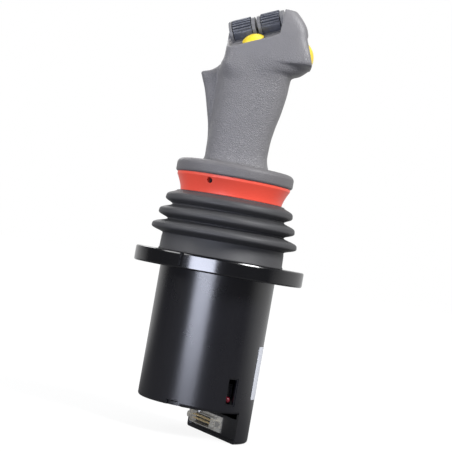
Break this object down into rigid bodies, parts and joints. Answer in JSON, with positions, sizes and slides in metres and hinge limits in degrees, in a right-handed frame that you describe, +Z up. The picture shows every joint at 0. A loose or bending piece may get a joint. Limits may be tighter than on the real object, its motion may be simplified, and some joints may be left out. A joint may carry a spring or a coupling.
{
  "type": "industrial joystick",
  "caption": "Industrial joystick with moulded hand grip, ribbed thumb rollers, thumb and trigger buttons, rubber bellows, round mounting flange and canister with connector bay.",
  "frame": {"origin": "on the stick's axis in the flange's seating face, which is also where the two tilt axes cross", "axes": "+Z up the stick, +X towards the trigger button, +Y away from the thumb's side; -Z is the direction the flange faces the panel"},
  "size_m": [0.1356, 0.1356, 0.3471],
  "materials": {
    "flange_black": "gloss",
    "canister_black": "gloss",
    "screw_steel": "satin",
    "zinc_plate": "satin",
    "black_plastic": "matte",
    "gold": "bright",
    "board_green": "satin",
    "lamp_red": "gloss",
    "cast_alloy": "satin",
    "bronze": "satin",
    "pin_steel": "ground",
    "spring_steel": "bright",
    "nylon": "satin",
    "bellows_rubber": "satin",
    "ring_red": "semi-gloss",
    "grip_grey": "grained",
    "roller_blue": "satin",
    "button_yellow": "gloss"
  },
  "bodies": {
    "base": {"mounting_flange": "flange_black", "canister_shell": "canister_black", "bottom_cover": "canister_black", "cover_screws": "screw_steel", "connector_bracket": "zinc_plate", "dsub_flange": "zinc_plate", "dsub_insulator": "black_plastic", "dsub_contacts": "gold", "jack_screws": "zinc_plate", "status_board": "board_green", "status_led": "lamp_red", "gimbal_frame": "cast_alloy", "outer_bushes": "bronze", "frame_sensor": "black_plastic", "travel_gate": "cast_alloy", "gate_posts": "screw_steel", "board_standoffs": "screw_steel", "main_board": "board_green", "board_parts": "black_plastic", "stack_screws": "screw_steel", "bellows": "bellows_rubber", "clamp_ring": "cast_alloy", "clamp_screws": "screw_steel", "outer_springs": "spring_steel"},
    "gimbal": {"gimbal_ring": "cast_alloy", "outer_pins": "pin_steel", "frame_magnet": "pin_steel", "inner_bushes": "bronze", "sensor_cap": "black_plastic", "ring_sensor": "board_green", "inner_springs": "spring_steel"},
    "stick": {"stick_hub": "cast_alloy", "inner_pins": "pin_steel", "hub_magnet": "pin_steel", "stick_shaft": "pin_steel", "tail_bush": "nylon", "bellows_carrier": "cast_alloy", "lock_ring": "ring_red", "set_screw": "screw_steel", "grip_collar": "grip_grey", "grip_insert": "cast_alloy", "grip_shell_near": "grip_grey", "grip_shell_far": "grip_grey", "shell_screws": "screw_steel", "roller_housing": "grip_grey", "roller_axle": "pin_steel", "roller_board": "board_green", "thumb_guide": "grip_grey", "thumb_switch": "black_plastic", "thumb_spring": "spring_steel", "trigger_guide": "grip_grey", "trigger_switch": "black_plastic", "trigger_spring": "spring_steel"},
    "rear_roller": {"roller_rear": "roller_blue"},
    "front_roller": {"roller_front": "roller_blue"},
    "thumb_push": {"thumb_button": "button_yellow"},
    "trigger_push": {"trigger_button": "button_yellow"}
  },
  "joints": [
    {"name": "tilt_x", "type": "hinge", "parent": "base", "child": "gimbal", "pos_m": [0, 0, 0], "axis": [1, 0, 0], "range_deg": [-16, 16], "stiffness_Nm_per_rad": 10, "deforming": ["outer_springs", "bellows"]},
    {"name": "tilt_y", "type": "hinge", "parent": "gimbal", "child": "stick", "pos_m": [0, 0, 0], "axis": [0, 1, 0], "range_deg": [-16, 16], "stiffness_Nm_per_rad": 10, "deforming": ["inner_springs", "bellows"]},
    {"name": "rear_roller_turn", "type": "hinge", "parent": "stick", "child": "rear_roller", "pos_m": [-0.01277, 0.00834, 0.19635], "axis": [0.9078, -0.2096, 0.3633], "range_deg": [-25, 25], "stiffness_Nm_per_rad": 0.05},
    {"name": "front_roller_turn", "type": "hinge", "parent": "stick", "child": "front_roller", "pos_m": [0.00866, 0.00339, 0.20492], "axis": [0.9078, -0.2096, 0.3633], "range_deg": [-25, 25], "stiffness_Nm_per_rad": 0.05},
    {"name": "thumb_press", "type": "slide", "parent": "stick", "child": "thumb_push", "axis": [0.4173, 0.3664, -0.8316], "range_m": [0, 0.0018], "stiffness_N_per_m": 1500, "deforming": ["thumb_spring"]},
    {"name": "trigger_press", "type": "slide", "parent": "stick", "child": "trigger_push", "axis": [-0.9397, 0, -0.342], "range_m": [0, 0.0018], "stiffness_N_per_m": 1500, "deforming": ["trigger_spring"]}
  ]
}
